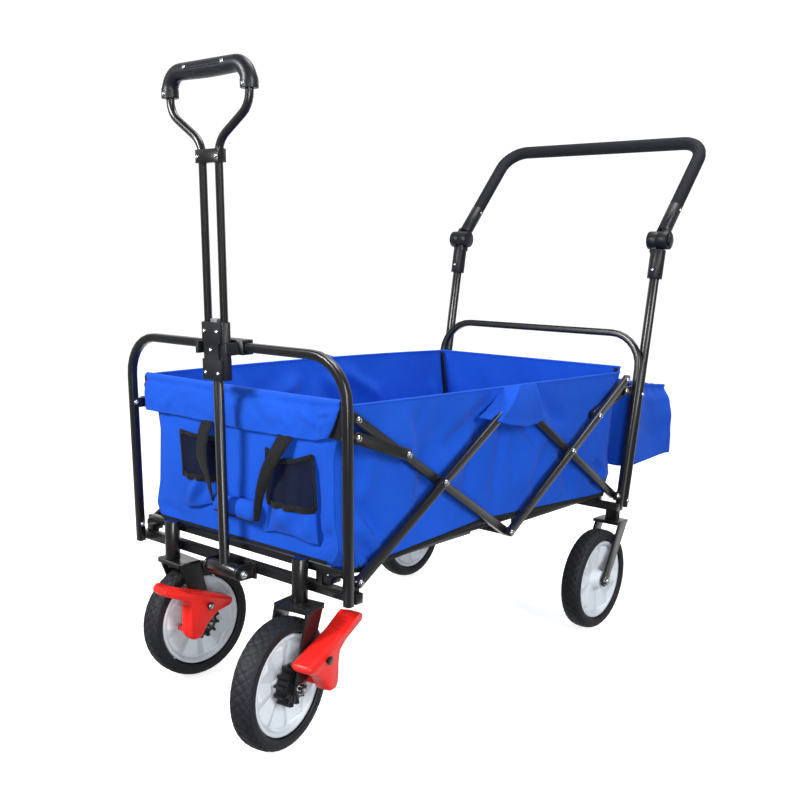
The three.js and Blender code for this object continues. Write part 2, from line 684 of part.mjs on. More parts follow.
frontHoop();
frontCrossFrame();
handleBracket();
hoopClip();
scissorBars();
links();
rearHoop();
rearCrossFrame();
rearWheels();
floorHalf('front', -1);
floorHalf('rear', 1);
tubEnds();
tubSides();
frontPockets();
rearBag();
caster('left', -1, 1, leftSwivel);
caster('right', 1, -1, rightSwivel);
pullHandle();
pushHandle();

wagon.position.y = -footprintMiddle;

const model = new THREE.Group();
model.add(wagon);

export default model;
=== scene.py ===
# Folding camp wagon: materials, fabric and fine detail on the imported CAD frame.
import json
import math

import bmesh
import bpy
import numpy as np
from mathutils import Matrix, Vector, noise


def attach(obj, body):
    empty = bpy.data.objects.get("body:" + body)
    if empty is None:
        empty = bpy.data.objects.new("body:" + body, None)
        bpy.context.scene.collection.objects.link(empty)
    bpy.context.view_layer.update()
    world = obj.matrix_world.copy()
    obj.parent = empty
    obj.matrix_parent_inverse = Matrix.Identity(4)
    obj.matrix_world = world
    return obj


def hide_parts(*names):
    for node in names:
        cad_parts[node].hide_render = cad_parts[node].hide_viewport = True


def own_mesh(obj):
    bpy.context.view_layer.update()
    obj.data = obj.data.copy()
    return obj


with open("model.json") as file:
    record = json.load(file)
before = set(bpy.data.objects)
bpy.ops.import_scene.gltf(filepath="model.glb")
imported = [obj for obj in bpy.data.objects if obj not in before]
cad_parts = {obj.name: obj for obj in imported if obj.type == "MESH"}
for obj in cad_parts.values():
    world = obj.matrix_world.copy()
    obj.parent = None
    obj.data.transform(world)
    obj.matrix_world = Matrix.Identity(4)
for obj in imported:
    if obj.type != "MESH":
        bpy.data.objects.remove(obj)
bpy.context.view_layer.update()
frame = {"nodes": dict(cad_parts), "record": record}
nodes = frame["nodes"]

MM = 0.001
ROW_SHIFT = 60.87  # the row's origin is this far behind the middle of the scissor bars
SIDES = (("left", -1), ("right", 1))


def at(x, y, z):
    """A point in millimetres, with Y from the middle of the scissor bars, as a row-frame vector."""
    return Vector((x * MM, (y - ROW_SHIFT) * MM, z * MM))


# ---- materials
class Nodes:
    """A principled material with short names for the procedural nodes it is built from."""

    def __init__(self, name, color, roughness, **sockets):
        self.material = bpy.data.materials.new(name)
        self.material.use_nodes = True
        self.tree = self.material.node_tree
        self.shader = self.tree.nodes["Principled BSDF"]
        self.shader.inputs["Base Color"].default_value = (*color, 1)
        self.shader.inputs["Roughness"].default_value = roughness
        for socket, value in sockets.items():
            self.shader.inputs[socket.replace("_", " ")].default_value = value
        self.coords = self.tree.nodes.new("ShaderNodeTexCoord")

    def node(self, kind, **settings):
        made = self.tree.nodes.new("ShaderNode" + kind)
        for key, value in settings.items():
            setattr(made, key, value)
        return made

    def link(self, source, target):
        self.tree.links.new(source, target)

    def noise(self, scale, detail=3.0, distortion=0.0):
        made = self.node("TexNoise")
        made.inputs["Scale"].default_value = scale
        made.inputs["Detail"].default_value = detail
        made.inputs["Distortion"].default_value = distortion
        self.link(self.coords.outputs["Object"], made.inputs["Vector"])
        return made.outputs["Fac"]

    def wave(self, scale, direction):
        made = self.node("TexWave", bands_direction=direction)
        made.inputs["Scale"].default_value = scale
        self.link(self.coords.outputs["UV"], made.inputs["Vector"])
        return made.outputs["Fac"]

    def combine(self, operation, a, b):
        made = self.node("Math", operation=operation)
        self.link(a, made.inputs[0])
        self.link(b, made.inputs[1])
        return made.outputs["Value"]

    def ramp(self, source, stops):
        made = self.node("ValToRGB")
        while len(made.color_ramp.elements) < len(stops):
            made.color_ramp.elements.new(0.5)
        for element, (place, color) in zip(made.color_ramp.elements, stops):
            element.position = place
            element.color = (*color, 1)
        self.link(source, made.inputs["Fac"])
        return made.outputs["Color"]

    def color(self, source, stops):
        self.link(self.ramp(source, stops), self.shader.inputs["Base Color"])

    def roughness(self, source, low, high):
        made = self.node("MapRange")
        made.inputs["To Min"].default_value = low
        made.inputs["To Max"].default_value = high
        self.link(source, made.inputs["Value"])
        self.link(made.outputs["Result"], self.shader.inputs["Roughness"])

    def bump(self, source, strength, distance):
        made = self.node("Bump")
        made.inputs["Strength"].default_value = strength
        made.inputs["Distance"].default_value = distance
        self.link(source, made.inputs["Height"])
        held = self.shader.inputs["Normal"]
        if held.is_linked:
            self.link(held.links[0].from_socket, made.inputs["Normal"])
        self.link(made.outputs["Normal"], held)


def weave(made, thread):
    """Plain weave over UVs in metres: warp and weft cross over each other."""
    pairs_per_metre = 1 / thread / 2
    return made.combine("MULTIPLY", made.wave(pairs_per_metre, "X"), made.wave(pairs_per_metre, "Y"))


def shaded(color, factor):
    return tuple(min(1.0, c * factor) for c in color)


def cloth_material(name, color, thread=0.0011):
    made = Nodes(name, color, 0.8, Sheen_Weight=0.04, Sheen_Roughness=0.5, Specular_IOR_Level=0.12)
    made.color(made.noise(7.0, 4.0), [(0.3, shaded(color, 0.9)), (0.7, shaded(color, 1.08))])
    made.roughness(made.noise(60.0), 0.7, 0.88)
    made.bump(weave(made, thread), 0.35, 0.0002)
    made.bump(made.noise(38.0, 2.0, distortion=0.6), 0.16, 0.004)
    return made.material


def webbing_material(name, color):
    made = Nodes(name, color, 0.75, Sheen_Weight=0.05, Sheen_Roughness=0.4, Specular_IOR_Level=0.22)
    made.color(made.noise(160.0), [(0.35, shaded(color, 0.75)), (0.7, shaded(color, 1.4))])
    made.bump(made.wave(260.0, "Y"), 0.6, 0.0006)
    return made.material


def net_material(name, color, cell=0.0032):
    """Knitted net: dark threads with holes between them."""
    made = Nodes(name, color, 0.7, Specular_IOR_Level=0.2)
    cover = made.combine("MAXIMUM", made.wave(1 / cell / 2, "DIAGONAL"), made.wave(1 / cell / 2, "X"))
    made.link(made.ramp(cover, [(0.3, (0.3,) * 3), (0.8, (0.72,) * 3)]), made.shader.inputs["Alpha"])
    made.bump(cover, 0.5, 0.0004)
    return made.material


def steel_material():
    color = (0.0055, 0.0058, 0.007)
    made = Nodes("black_powder_coat", color, 0.3, Coat_Weight=0.35, Coat_Roughness=0.18)
    made.color(made.noise(24.0), [(0.3, shaded(color, 0.8)), (0.75, shaded(color, 1.5))])
    made.roughness(made.noise(85.0, 5.0), 0.27, 0.35)
    made.bump(made.noise(900.0, 2.0), 0.05, 0.0003)
    return made.material


def plastic_material(name, color, low, high, grain=1600.0, strength=0.18, **sockets):
    made = Nodes(name, color, (low + high) / 2, **sockets)
    made.color(made.noise(18.0), [(0.3, shaded(color, 0.9)), (0.75, shaded(color, 1.12))])
    made.roughness(made.noise(120.0, 4.0), low, high)
    made.bump(made.noise(grain, 2.0), strength, 0.0002)
    return made.material


def bolt_material():
    made = Nodes("zinc", (0.72, 0.73, 0.74), 0.25, Metallic=1.0)
    made.roughness(made.noise(400.0), 0.16, 0.36)
    made.bump(made.noise(1400.0), 0.1, 0.0001)
    return made.material


BLUE = (0.0085, 0.088, 0.60)
steel = steel_material()
cloth = cloth_material("blue_polyester", BLUE)
binding = webbing_material("black_binding", (0.0085, 0.009, 0.011))
net = net_material("black_net", (0.006, 0.008, 0.018))
mould = plastic_material("black_moulding", (0.0095, 0.0105, 0.0140), 0.34, 0.52, Specular_IOR_Level=0.4)
foam = plastic_material("black_foam", (0.0105, 0.0125, 0.0180), 0.66, 0.86, grain=700.0, strength=0.5,
                        Specular_IOR_Level=0.3)
rubber = plastic_material("tyre_rubber", (0.0115, 0.0130, 0.0170), 0.5, 0.7, grain=500.0, strength=0.35,
                          Specular_IOR_Level=0.35)
rim_plastic = plastic_material("pale_rim", (0.68, 0.735, 0.80), 0.3, 0.42, strength=0.05)
red_plastic = plastic_material("red_pedal", (0.95, 0.018, 0.012), 0.34, 0.46, strength=0.05)
grey_plastic = plastic_material("grey_button", (0.22, 0.23, 0.25), 0.35, 0.5)
zinc = bolt_material()
grip_plastic = plastic_material("grip_moulding", (0.009, 0.0105, 0.0155), 0.3, 0.45, grain=900.0,
                                strength=0.25, Specular_IOR_Level=0.4)


# ---- mesh building
def write_mesh(bm, mesh):
    """Puts a bmesh into a mesh, with its faces turned outwards."""
    bmesh.ops.recalc_face_normals(bm, faces=bm.faces)
    bm.to_mesh(mesh)
    bm.free()


def link_object(name, data):
    made = bpy.data.objects.new(name, data)
    bpy.context.scene.collection.objects.link(made)
    return made


def smooth_faces(mesh):
    mesh.polygons.foreach_set("use_smooth", [True] * len(mesh.polygons))


def piece(name, verts, faces, material, uvs=None):
    mesh = bpy.data.meshes.new(name)
    mesh.from_pydata([tuple(v) for v in verts], [], faces)
    smooth_faces(mesh)
    if uvs is not None:
        layer = mesh.uv_layers.new(name="cut")
        flat = np.array([uvs[loop.vertex_index] for loop in mesh.loops], np.float32)
        layer.data.foreach_set("uv", flat.ravel())
    mesh.update()
    mesh.materials.append(material)
    return link_object(name, mesh)


def tube_faces(rows, count, capped=True):
    """Faces over rows of count vertices each, closed round the row, with or without both end caps."""
    faces = [(i + j, i + (j + 1) % count, i + count + (j + 1) % count, i + count + j)
             for i in range(0, (rows - 1) * count, count) for j in range(count)]
    if capped:
        faces += [tuple(range(count - 1, -1, -1)), tuple((rows - 1) * count + j for j in range(count))]
    return faces


def lengths_along(grid, axis):
    """Mean distance walked along one axis of a grid of points, from 0."""
    steps = np.linalg.norm(np.diff(grid, axis=axis), axis=2).mean(axis=1 - axis)
    return np.concatenate([[0], np.cumsum(steps)])


def grid_piece(name, grid, material, closed=False, thickness=0.0):
    """Cloth or shell through a grid of points, with its flat cut as UVs in metres."""
    nu, nv = grid.shape[:2]
    u, v = lengths_along(grid, 0), lengths_along(grid, 1)
    faces = [(i * nv + j, (i + 1) % nu * nv + j, (i + 1) % nu * nv + j + 1, i * nv + j + 1)
             for i in range(nu if closed else nu - 1) for j in range(nv - 1)]
    uvs = [(u[i], v[j]) for i in range(nu) for j in range(nv)]
    made = piece(name, grid.reshape(-1, 3), faces, material, uvs)
    if thickness:
        solid = made.modifiers.new("thickness", "SOLIDIFY")
        solid.thickness, solid.offset = thickness, 0.0
    return made


def surface(nu, nv, point):
    """Grid of row-frame points from point(u, v), which works in millimetres."""
    rows = [[at(*point(u, v)) for v in np.linspace(0, 1, nv)] for u in np.linspace(0, 1, nu)]
    return np.array(rows)


def flat_size(grid):
    return float(lengths_along(grid, 0)[-1]), float(lengths_along(grid, 1)[-1])


def cloth_sheet(name, grid, material, body, thickness=1.2, closed=False):
    """Sheet of fabric with its flat cut: the lengths walked over it."""
    made = grid_piece(name, grid, material, closed, thickness * MM)
    width, length = flat_size(grid)
    if closed:
        width += float(np.linalg.norm(grid[0] - grid[-1], axis=1).mean())
    return fit(made, body)


def trim(name, grid, body, thickness):
    """Narrow black tape or binding sewn on a sheet."""
    return fit(grid_piece(name, grid, binding, thickness=thickness * MM), body)


def sweep(path, section, capped=True):
    """Vertices and faces of a tube along path; section(t) gives its (a, b) outline at t from 0 to 1."""
    path = [Vector(p) for p in path]
    n = len(path)
    tangents = [(path[min(i + 1, n - 1)] - path[max(i - 1, 0)]).normalized() for i in range(n)]
    side = tangents[0].orthogonal().normalized()
    verts = []
    for i, (point, tangent) in enumerate(zip(path, tangents)):
        if i:
            side = (side - tangent * side.dot(tangent)).normalized()
        up = tangent.cross(side)
        verts += [point + side * a + up * b for a, b in section(i / (n - 1))]
    return verts, tube_faces(n, len(verts) // n, capped)


def ring(radius, sides):
    turns = np.arange(sides) * 2 * math.pi / sides
    return [(radius * math.cos(a), radius * math.sin(a)) for a in turns]


def fit(made, body, node=None):
    """Rides a piece on its body, and hides the CAD node it stands for."""
    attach(made, body)
    if node:
        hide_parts(node)
    return made


def tube(name, path, radius, material, body, sides):
    verts, faces = sweep(path, lambda t: ring(radius, sides))
    made = piece(name, verts, faces, material)
    soften(made, 0.3)
    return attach(made, body)


def soften(made, width_mm, angle=35.0):
    """Rounds sharp edges and keeps flat faces flat."""
    weld = made.modifiers.new("weld", "WELD")
    weld.merge_threshold = 1e-5
    bevel = made.modifiers.new("edges", "BEVEL")
    bevel.width, bevel.segments = width_mm * MM, 2
    bevel.limit_method, bevel.angle_limit = "ANGLE", math.radians(angle)
    bevel.harden_normals = True
    bevel.use_clamp_overlap = True
    return made


def smoothstep(t):
    t = np.clip(t, 0.0, 1.0)
    return t * t * (3 - 2 * t)


def crease(p, q, start, end, width, depth):
    """Depth of a soft fold at (p, q) that runs from start to end and dies out at both ends."""
    ax, ay = end[0] - start[0], end[1] - start[1]
    length = math.hypot(ax, ay)
    along = ((p - start[0]) * ax + (q - start[1]) * ay) / length
    across = ((p - start[0]) * -ay + (q - start[1]) * ax) / length
    ends = smoothstep(along / (0.3 * length)) * smoothstep((length - along) / (0.3 * length))
    return depth * float(ends) * math.exp(-((across / width) ** 2))


def folds(p, q, creases):
    return sum(crease(p, q, *c) for c in creases)


def ruffle(p, q, seed, scale=0.02, size=1.0):
    """Slow, even unevenness of cloth, the same on each run."""
    return size * noise.noise(Vector((p * scale, q * scale, seed)))


# ---- camera, light and floor
def make_camera():
    turn, tilt, roll = math.radians(40.58), math.radians(-11.46), math.radians(1.35)
    data = bpy.data.cameras.new("camera")
    data.sensor_width = 36
    data.lens = 45.18
    data.shift_x, data.shift_y = 0.030, 0.080
    camera = link_object("camera", data)
    place = at(1163.7, -1436.7, 715.7)
    aim = Matrix.Rotation(turn, 4, "Z") @ Matrix.Rotation(math.pi / 2 + tilt, 4, "X")
    camera.matrix_world = Matrix.Translation(place) @ aim @ Matrix.Rotation(roll, 4, "Z")
    bpy.context.scene.camera = camera


def area_light(name, place, target, size, energy):
    data = bpy.data.lights.new(name, "AREA")
    data.size, data.energy = size, energy
    light = link_object(name, data)
    light.location = place
    light.rotation_euler = (Vector(target) - Vector(place)).to_track_quat("-Z", "Y").to_euler()


SWEEP = (-0.637, 0.744, -0.199)  # way from the wagon to the brightest part of the white sweep
FLOOR_HALF = 40.0


def make_floor():
    """Pale floor with soft contact shadows. It adds no light of its own to the wagon."""
    material = bpy.data.materials.new("studio_floor")
    material.use_nodes = True
    shader = material.node_tree.nodes["Principled BSDF"]
    shader.inputs["Base Color"].default_value = (0.9, 0.9, 0.9, 1)
    shader.inputs["Roughness"].default_value = 0.9
    shader.inputs["Specular IOR Level"].default_value = 0.0
    shader.inputs["Emission Color"].default_value = (1, 1, 1, 1)
    shader.inputs["Emission Strength"].default_value = 0.75
    corners = [(x * FLOOR_HALF, y * FLOOR_HALF, 0) for x, y in ((-1, -1), (1, -1), (1, 1), (-1, 1))]
    floor = piece("studio_floor", corners, [(0, 1, 2, 3)], material)
    floor.location.z = -0.0005
    floor.visible_diffuse = floor.visible_glossy = floor.visible_transmission = False


def make_studio():
    """White sweep behind the wagon, a dim room in front of it, four soft lights and a floor."""
    scene = bpy.context.scene
    scene.view_settings.view_transform = "Standard"
    world = bpy.data.worlds.new("studio")
    world.use_nodes = True
    tree = world.node_tree
    sky = tree.nodes["Background"]
    coords = tree.nodes.new("ShaderNodeTexCoord")
    facing_sweep = tree.nodes.new("ShaderNodeVectorMath")
    facing_sweep.operation = "DOT_PRODUCT"
    facing_sweep.inputs[1].default_value = SWEEP
    brightness = tree.nodes.new("ShaderNodeMapRange")
    brightness.interpolation_type = "SMOOTHSTEP"
    for socket, value in (("From Min", 0.15), ("From Max", 0.75), ("To Min", 0.22), ("To Max", 1.1)):
        brightness.inputs[socket].default_value = value
    tree.links.new(coords.outputs["Generated"], facing_sweep.inputs[0])
    tree.links.new(facing_sweep.outputs["Value"], brightness.inputs["Value"])
    tree.links.new(brightness.outputs["Result"], sky.inputs["Strength"])
    sky.inputs["Color"].default_value = (1, 1, 1, 1)
    scene.world = world
    area_light("key", (-0.62, -2.1, 1.5), (0, -0.4, 0.35), 0.6, 46)
    area_light("fill", (2.9, -0.8, 1.7), (0, 0, 0.35), 1.2, 56)
    area_light("top", (0.3, 0.7, 3.0), (0, 0, 0.3), 1.4, 48)
    area_light("low", (2.0, -2.2, 0.5), (0, -0.4, 0.15), 0.8, 30)
    make_floor()


# ---- carried-over CAD nodes
def dress_cad():
    """Gives each node its material, and its edges a small radius in millimetres."""
    finishes = {
        "frame_steel": (steel, 0.7), "black_plastic": (mould, 1.2), "foam": (foam, 0.8),
        "tyre_rubber": (rubber, 0.8), "rim_plastic": (rim_plastic, 0.8), "pedal_plastic": (red_plastic, 1.6),
        "button_plastic": (grey_plastic, 0.8), "tub_fabric": (cloth, 0.8), "pocket_mesh": (net, 0.5),
    }
    slots = {s["node"]: s["material_slot"] for s in frame["record"]["subparts"]}
    for name, node in nodes.items():
        material, edge = finishes[slots[name]]
        node.data.materials.clear()
        node.data.materials.append(material)
        smooth_faces(node.data)
        soften(node, edge)


# ---- fabric tub
FRONT_Y, REAR_Y = -404.0, 404.0
WALL_X = 224.4
HEM = {-1: (519, 522, 517), 1: (514, 510, 507)}  # height at the front, middle and rear of each side


def hem_height(y, side):
    rise = (y - FRONT_Y) / (REAR_Y - FRONT_Y)
    front, middle, rear = HEM[side]
    return front + (rear - front) * rise + (2 * middle - front - rear) * 2 * rise * (1 - rise)


def foot_height(y):
    return float(np.interp(y, [-404, -300, -64, 29, 300, 404], [262, 271, 284, 279, 264, 260]))


# Soft folds of a side wall: (Y, Z) of both ends, half width, depth inwards.
SIDE_FOLDS = [
    ((-375, 520), (-365, 300), 22, 9.0),
    ((-340, 470), (-395, 250), 16, -7.0),
    ((-392, 330), (-330, 268), 9, 8.0),
    ((-380, 380), (-318, 300), 10, 7.0),
    ((-366, 345), (-322, 262), 7, -5.0),
    ((-300, 500), (-230, 300), 40, -7.0),
    ((-20, 500), (-190, 410), 16, 9.0),
    ((-45, 505), (-120, 300), 20, 9.5),
    ((5, 500), (-25, 290), 14, 7.0),
    ((30, 500), (110, 380), 14, 8.5),
    ((60, 505), (210, 420), 16, 8.0),
    ((25, 420), (38, 330), 6, 4.0),
    ((185, 400), (250, 270), 16, 9.0),
    ((310, 340), (385, 300), 9, 7.0),
    ((300, 300), (390, 280), 8, 6.5),
    ((350, 470), (392, 300), 14, 7.0),
    ((-250, 505), (-215, 380), 22, 6.5),
    ((-160, 505), (-260, 300), 30, 9.0),
    ((90, 300), (150, 400), 18, 6.0),
    ((130, 500), (60, 300), 36, -6.0),
]


def waist(z, y):
    """How far the tub's upright corners are drawn in at a height, at the front or the rear."""
    drawn_in = [30, 18, 11, 20, 24, 16, 3, 0] if y < 0 else [16, 14, 10, 16, 12, 6, 1, 0]
    return float(np.interp(z, [270, 285, 300, 340, 430, 470, 505, 520], drawn_in))


def side_wall(side, seed):
    def point(u, v):
        y = FRONT_Y + (REAR_Y - FRONT_Y) * u
        z = foot_height(y) + (hem_height(y, side) - foot_height(y)) * v
        slack = math.sin(math.pi * v) * math.sin(math.pi * u)
        near_corner = 1 - smoothstep((1 - abs(2 * u - 1)) * 9)
        fold_y = y if side > 0 else y * 0.93 + 17
        depth = 1.35 * folds(fold_y, z, SIDE_FOLDS) * (1 - near_corner) + 2.5 * slack
        depth += ruffle(y, z, seed, 0.012, 3.0) * slack + ruffle(y, z, seed + 5, 0.045, 1.0)
        x = WALL_X - max(-2.4, depth) - waist(z, y) * near_corner
        return side * x, y, z
    return surface(170, 56, point)


def edge_tape(name, edge, out, width, body, thickness=1.4):
    """Tape sewn along an edge of the cloth: edge is a row of points, out the way it faces."""
    edge, out = np.array(edge), np.array(out, float)
    rows = [(0.0, 0.9), (0.35, 1.5), (0.75, 1.5), (1.0, 0.8)]
    up = np.array([0, 0, 1.0])
    grid = np.array([[p + up * width * MM * t + out * lift * MM for t, lift in rows] for p in edge])
    return trim(name, grid, body, thickness)


# Y and Z along the free edge of the flap.
FLAP_EDGE = ([-82, -60, -35, 0, 22, 54, 92], [466, 459, 452, 446, 442.5, 444.5, 455])


def flap(label, side, seed):
    """Middle of the side's hem, drawn out over the tops of the scissor bars and hanging outside them."""
    def point(u, v):
        reach_out = float(smoothstep(u / 0.15) * smoothstep((1 - u) / 0.09))
        out, down = min(1.0, v / 0.26), max(0.0, (v - 0.26) / 0.74)
        y = (1 - down) * (-14 + 60 * u) + down * (-82 + 174 * u)
        top = hem_height(y, side) + 1.4
        low = float(np.interp(y, *FLAP_EDGE))
        over = 29.5 * math.sin(out * math.pi / 2) * reach_out
        crest = 5.5 * math.sin(out * math.pi / 2) * reach_out
        pleat = 1.8 * math.sin(u * 13 + seed) * down * (1 - 0.4 * down) * reach_out
        belly = 3.4 * math.sin(math.pi * min(1.0, down * 1.2)) * reach_out
        z = top + crest - (top + crest - low) * down
        return side * (WALL_X - 0.9 + over + belly + max(-1.0, pleat)), y, z
    grid = surface(70, 40, point)
    return cloth_sheet(f"flap_{label}", grid, cloth, "front_frame")


def end_wall(y, face, hem, creases, seed):
    """Front or rear wall; face is -1 for the front one and 1 for the rear one."""
    def point(u, v):
        z = 276.5 + (hem - 276.5) * v
        x = (2 * u - 1) * (224.2 - waist(z, y))
        slack = math.sin(math.pi * v) * math.sin(math.pi * u)
        free = float(smoothstep((1 - abs(2 * u - 1)) * 12))
        depth = folds(x, z, creases) + ruffle(x, z, seed, 0.013, 3.0) * slack
        depth += ruffle(x, z, seed + 3, 0.05, 0.8)
        corner = (abs(y) - REAR_Y + 0.2) * (1 - free)
        return x, y + face * (0.8 - depth * free + 2.0 * slack - corner), z
    return surface(104, 56, point)


# Soft folds of the end walls: (X, Z) of both ends, half width, depth inwards.
FRONT_FOLDS = [
    ((165, 450), (175, 290), 18, 6.0),
    ((195, 460), (200, 300), 10, -3.0),
    ((150, 300), (215, 330), 10, 5.0),
    ((182, 300), (222, 350), 8, 4.0),
    ((-205, 450), (-196, 290), 12, 3.5),
    ((-60, 470), (-30, 300), 34, 3.0),
    ((40, 470), (70, 290), 26, 3.0),
    ((-215, 300), (-120, 288), 9, 3.0),
]
REAR_FOLDS = [
    ((-200, 500), (-150, 300), 24, 6.0),
    ((-80, 510), (-40, 300), 34, 5.0),
    ((60, 510), (30, 320), 26, 4.5),
    ((180, 500), (150, 290), 22, 6.0),
    ((-215, 380), (-120, 300), 16, 4.0),
]


def front_band():
    """Cuff folded outwards over the front hem, its lower edge free and its right end turned under."""
    creases = [
        ((140, 500), (200, 478), 8, 4.6), ((158, 515), (188, 468), 6, -4.4),
        ((100, 508), (112, 475), 7, 2.8), ((172, 498), (205, 505), 5, 4.0),
        ((60, 512), (92, 470), 12, 2.0), ((-190, 512), (-150, 474), 14, 2.6),
    ]

    def point(u, v):
        crest = 521.5 - 1.2 * math.sin(math.pi * u)
        hook = float(smoothstep((u - 0.86) / 0.14))
        low = 458.5 + 1.6 * math.sin(7 * u + 0.6) + 5.0 * hook ** 3
        end = 1 - smoothstep((1 - abs(2 * u - 1)) * 26)
        x = -231 + 446 * u
        if v < 0.2:
            a = v / 0.2 * math.pi
            return x, -405.8 + 6.0 * math.cos(a), crest - 6 + 6 * math.sin(a)
        t = (v - 0.2) / 0.8
        z = crest - 6 - (crest - 6 - low) * t
        wrinkle = folds(x, z, creases)
        wrinkle += ruffle(x, t * 60, 4.0, 0.02, 3.0) + ruffle(x, t * 60, 9.0, 0.06, 1.2)
        wrinkle = max(-3.0, wrinkle) * float(smoothstep(t / 0.1))
        rolled = -1.6 * math.exp(-(((t - 0.1) / 0.06) ** 2))
        belly = 3.6 * math.sin(math.pi * t) + 3.2 * t + rolled
        return x - 19 * hook * t * t, -411.8 - belly - wrinkle + 3.0 * end, z
    return surface(130, 38, point)


# ---- pockets, straps and roll
POCKET_Y = -409.2


def pocket(name, top, waistline, foot, seed):
    """Net pocket on a blue foot gathered into its seam. Each edge is a row of (X, Z), left to right."""
    def edge(points, u):
        stations = np.linspace(0, 1, len(points))
        return [float(np.interp(u, stations, [p[k] for p in points])) for k in (0, 1)]

    def bulge(u, v):
        return math.sin(math.pi * u) ** 0.7 * (5 + 11 * float(smoothstep(v)))

    def net_point(u, v):
        (x0, z0), (x1, z1) = edge(top, u), edge(waistline, u)
        sag = 2.4 * math.sin(u * 21 + seed) * (0.3 + 0.7 * v)
        return x0 + (x1 - x0) * v, POCKET_Y - bulge(u, 0.8 * v) - sag, z0 + (z1 - z0) * v

    def foot_point(u, v):
        (x0, z0), (x1, z1) = edge(waistline, u), edge(foot, u)
        seam = 2.4 * math.sin(u * 21 + seed) * (1 - v) ** 2
        pleats = 5.5 * math.sin(u * 12 + seed + 2.2 * v) * math.sin(math.pi * min(1, v * 1.15))
        y = POCKET_Y - bulge(u, 0.8) * (1 - 0.66 * v ** 2.4) - seam - pleats * math.sin(math.pi * u)
        return x0 + (x1 - x0) * v, y, z0 + (z1 - z0) * v

    grid = surface(44, 24, net_point)
    tapes = [edge_tape(f"{name}_{label}_tape", [p + np.array([0, -0.6, lift]) * MM for p in row],
                       (0, -1, 0), -width, "front_frame", 0.8)
             for label, row, lift, width in (("top", grid[:, 0], 2, 7), ("seam", grid[:, -1], 5, 10))]
    tapes += [side_tape(f"{name}_{label}_tape", column, "front_frame", 6)
              for label, column in (("left", grid[0]), ("right", grid[-1]))]
    made = cloth_sheet(name + "_net", grid, net, "front_frame", 0.7)
    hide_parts(name)
    made = cloth_sheet(name + "_foot", surface(56, 30, foot_point), cloth,
                       "front_frame", 1.0)
    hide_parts(name)


def side_tape(name, line, body, width):
    """Narrow tape down the side edge of a panel."""
    steps = [np.array([t * width, -1.2, 0]) * MM for t in (-0.5, 0, 0.5)]
    grid = np.array([[np.array(p) + step for step in steps] for p in line])
    return trim(name, grid, body, 0.8)


def strap(name, middle, widths, turns, body, n=40):
    """Flat webbing along a smooth route; turns are its turns about its own length in degrees."""
    middle = np.array(middle, float)
    stations = np.linspace(0, 1, len(middle))
    rows = []
    for t in np.linspace(0, 1, n):
        k = t * (len(middle) - 1)
        i = min(int(k), len(middle) - 2)
        p = [middle[max(i - 1, 0)], middle[i], middle[i + 1], middle[min(i + 2, len(middle) - 1)]]
        f = k - i
        c = 0.5 * (2 * p[1] + (p[2] - p[0]) * f + (2 * p[0] - 5 * p[1] + 4 * p[2] - p[3]) * f * f
                   + (3 * p[1] - p[0] - 3 * p[2] + p[3]) * f ** 3)
        half = float(np.interp(t, stations, widths)) / 2
        turn = math.radians(float(np.interp(t, stations, turns)))
        across = np.array([math.cos(turn), -math.sin(turn), 0.0])
        rows.append([at(*(c + across * half * s)) for s in (-1, -0.33, 0.33, 1)])
    return cloth_sheet(name, np.array(rows), binding, body, 1.6)


def carry_roll():
    """Padded blue roll that the straps hold, its ends drawn in."""
    def point(u, v):
        a = 2 * math.pi * u * 27 / 28
        x = -44 + 101 * v
        end = min(1.0, math.sin(math.pi * v) * 3.4) ** 0.5
        r = 0.35 + 0.65 * end
        height = (14.5 + 2.5 * v + 0.7 * math.cos(9 * v)) * r
        depth = 10.3 * r * (1 + 0.05 * math.sin(9 * v))
        pinch = 1 - 0.14 * math.exp(-(((v - 0.55) / 0.03) ** 2))
        return x, -419.8 + depth * pinch * math.cos(a), 335 - 3.5 * v + height * pinch * math.sin(a)
    grid = surface(28, 48, point)
    roll = grid_piece("roll", grid, cloth, closed=True)
    bm = bmesh.new()
    bm.from_mesh(roll.data)
    bmesh.ops.holes_fill(bm, edges=[e for e in bm.edges if e.is_boundary], sides=0)
    write_mesh(bm, roll.data)
    fit(roll, "front_frame", "carry_grip")
    piping = [at(-38 + 92 * t, -427.0, 322 - 5 * t) for t in np.linspace(0, 1, 20)]
    tube("roll_piping", piping, 1.2 * MM, binding, "front_frame", 8)


def gusset(name, corners):
    """Small black gore between an end of the cuff and the corner of the tub."""
    (x0, z0), (x1, z1), (x2, z2), (x3, z3) = corners

    def point(u, v):
        x = (1 - v) * (x0 + (x1 - x0) * u) + v * (x2 + (x3 - x2) * u)
        z = (1 - v) * (z0 + (z1 - z0) * u) + v * (z2 + (z3 - z2) * u)
        return x, -408.6 - 2.0 * math.sin(math.pi * u) * math.sin(math.pi * v), z
    return trim(name, surface(8, 12, point), "front_frame", 1.2)


